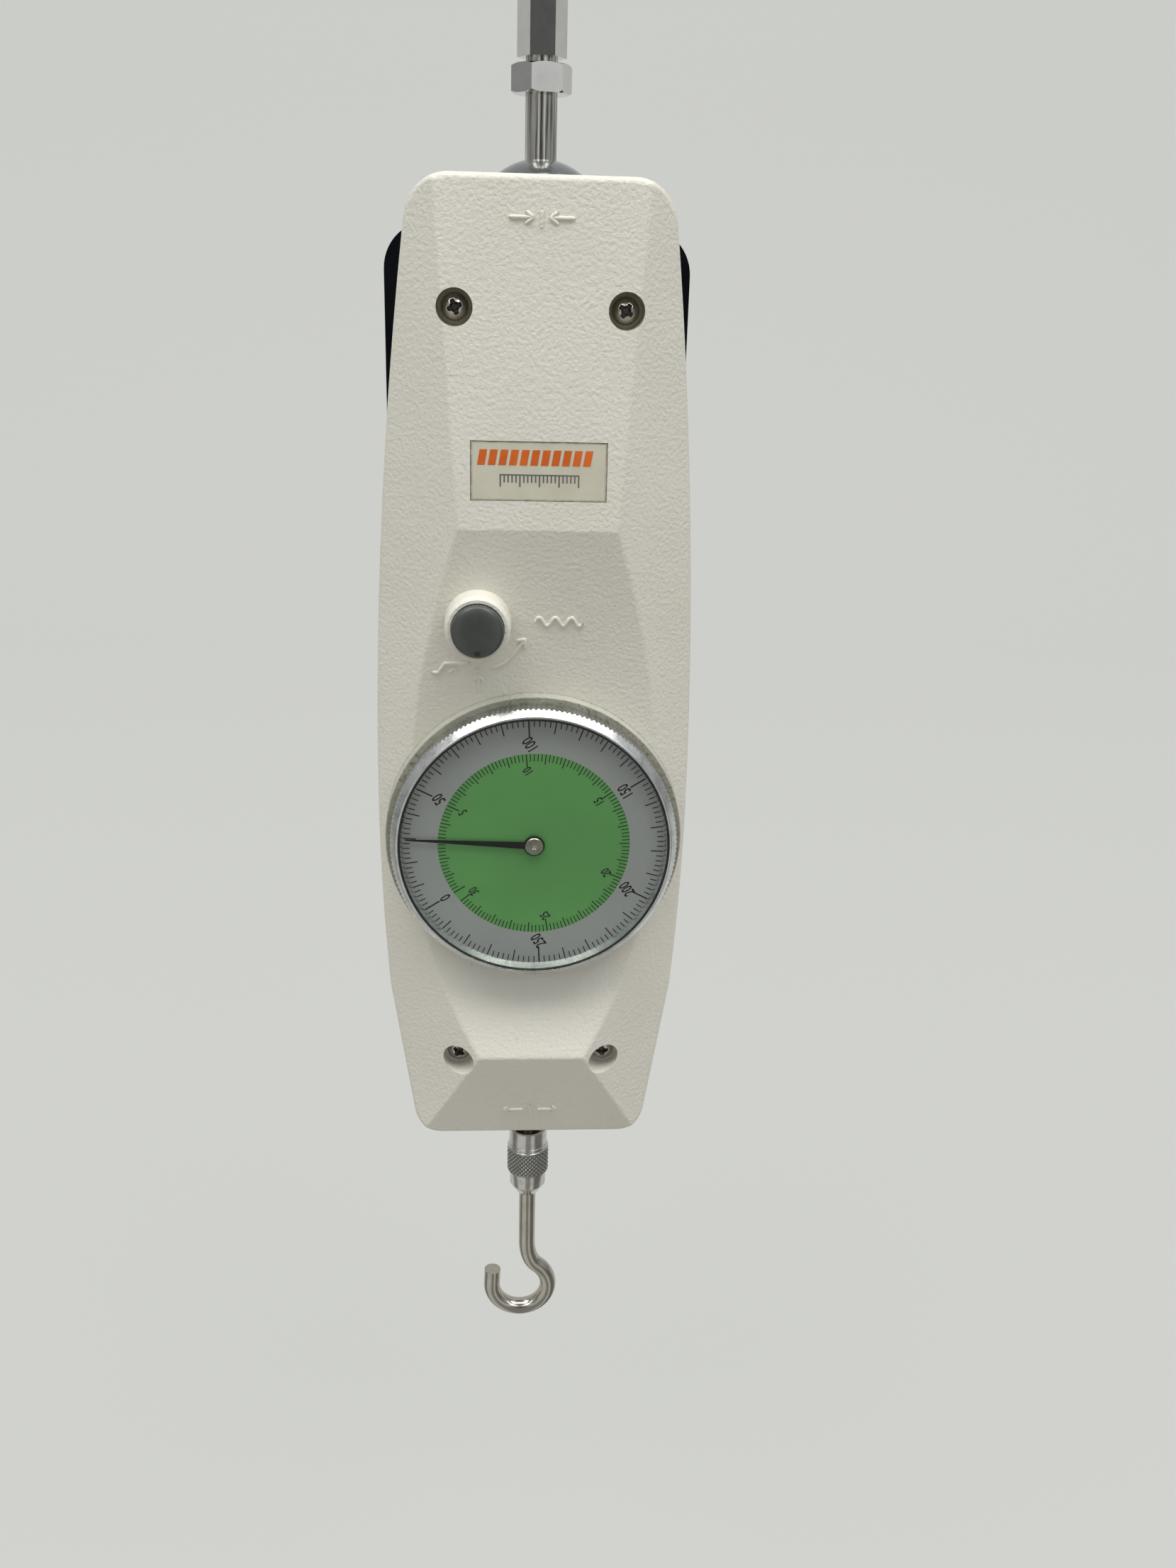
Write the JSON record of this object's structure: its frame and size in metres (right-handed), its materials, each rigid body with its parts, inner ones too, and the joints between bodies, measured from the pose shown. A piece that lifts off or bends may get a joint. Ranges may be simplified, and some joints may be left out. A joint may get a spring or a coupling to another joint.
{
  "type": "force gauge",
  "caption": "Analogue push-pull force gauge with a turning dial bezel, a pointer geared to a spring-loaded shaft, a peak-hold knob, a push head and a pull hook.",
  "frame": {"origin": "centre of the four-hole mounting pattern on the flat rear face", "axes": "+Z along the load shaft towards the push head, the hook is at -Z; the dial faces -Y and +Y points out of the rear face; +X is to the right of a person facing the dial with the push head up"},
  "size_m": [0.066, 0.0505, 0.3042],
  "materials": {
    "cover_paint": "textured satin",
    "case_paint": "satin",
    "nickel": "satin",
    "label_print": "satin",
    "brass": "satin",
    "grey_plastic": "gloss",
    "dark_steel": "satin",
    "steel": "polished",
    "chrome": "polished",
    "spring_steel": "satin",
    "aluminium": "satin",
    "black": "matt",
    "dial_print": "satin",
    "clear": "clear",
    "knob_plastic": "gloss"
  },
  "bodies": {
    "casing": {"front_cover": "cover_paint", "rear_cover": "case_paint", "cover_screws": "nickel", "label_plate": "label_print", "mount_inserts": "brass", "push_bush": "grey_plastic", "pull_bush": "dark_steel", "chassis_plate": "aluminium", "spring_bracket": "aluminium", "guide_block": "aluminium", "foot_screws": "nickel", "load_spring": "spring_steel", "movement_plate": "brass", "movement_bridge": "brass", "standoffs": "brass", "pillars": "brass", "bridge_screws": "nickel", "lever_post": "steel", "hairspring": "spring_steel"},
    "shaft": {"load_shaft": "steel", "rack": "brass", "shaft_collar": "aluminium", "guide_pin": "steel", "lock_nut": "chrome", "extension_rod": "chrome", "push_head": "chrome", "coupling": "chrome", "hook": "chrome"},
    "wheel": {"rack_pinion": "brass", "drive_wheel": "brass", "wheel_arbor": "steel"},
    "hand": {"centre_arbor": "steel", "centre_pinion": "brass", "hold_wheel": "brass", "pointer_hub": "aluminium", "pointer": "black"},
    "dial": {"bezel": "aluminium", "crystal": "clear", "dial_plate": "dial_print", "snap_ring": "spring_steel"},
    "selector": {"knob": "knob_plastic", "knob_shaft": "steel", "knob_cam": "steel", "knob_clip": "spring_steel"},
    "lever": {"hold_lever": "steel"}
  },
  "joints": [
    {"name": "shaft_slide", "type": "slide", "parent": "casing", "child": "shaft", "axis": [0, 0, -1], "range_m": [0, 0.01005], "stiffness_N_per_m": 29850, "deforming": ["load_spring"]},
    {"name": "wheel_spin", "type": "hinge", "parent": "casing", "child": "wheel", "pos_m": [0.0085, -0.0256, -0.04262], "axis": [0, 1, 0], "range_deg": [-145, 0]},
    {"name": "hand_spin", "type": "hinge", "parent": "casing", "child": "hand", "pos_m": [0, -0.04, -0.0315], "axis": [0, 1, 0], "range_deg": [0, 361]},
    {"name": "dial_turn", "type": "hinge", "parent": "casing", "child": "dial", "pos_m": [0, -0.044, -0.0315], "axis": [0, 1, 0], "continuous": true},
    {"name": "knob_turn", "type": "hinge", "parent": "casing", "child": "selector", "pos_m": [-0.01165, -0.047, 0.01475], "axis": [0, 1, 0], "range_deg": [-90, 0]},
    {"name": "lever_rock", "type": "hinge", "parent": "casing", "child": "lever", "pos_m": [-0.014, -0.0336, -0.0095], "axis": [0, 1, 0], "range_deg": [0, 6]}
  ],
  "couplings": [
    {"joint": "wheel_spin", "follows": "shaft_slide", "rad_per_m": -250},
    {"joint": "hand_spin", "follows": "shaft_slide", "rad_per_m": 625},
    {"joint": "lever_rock", "follows": "knob_turn", "ratio": -0.066667}
  ]
}
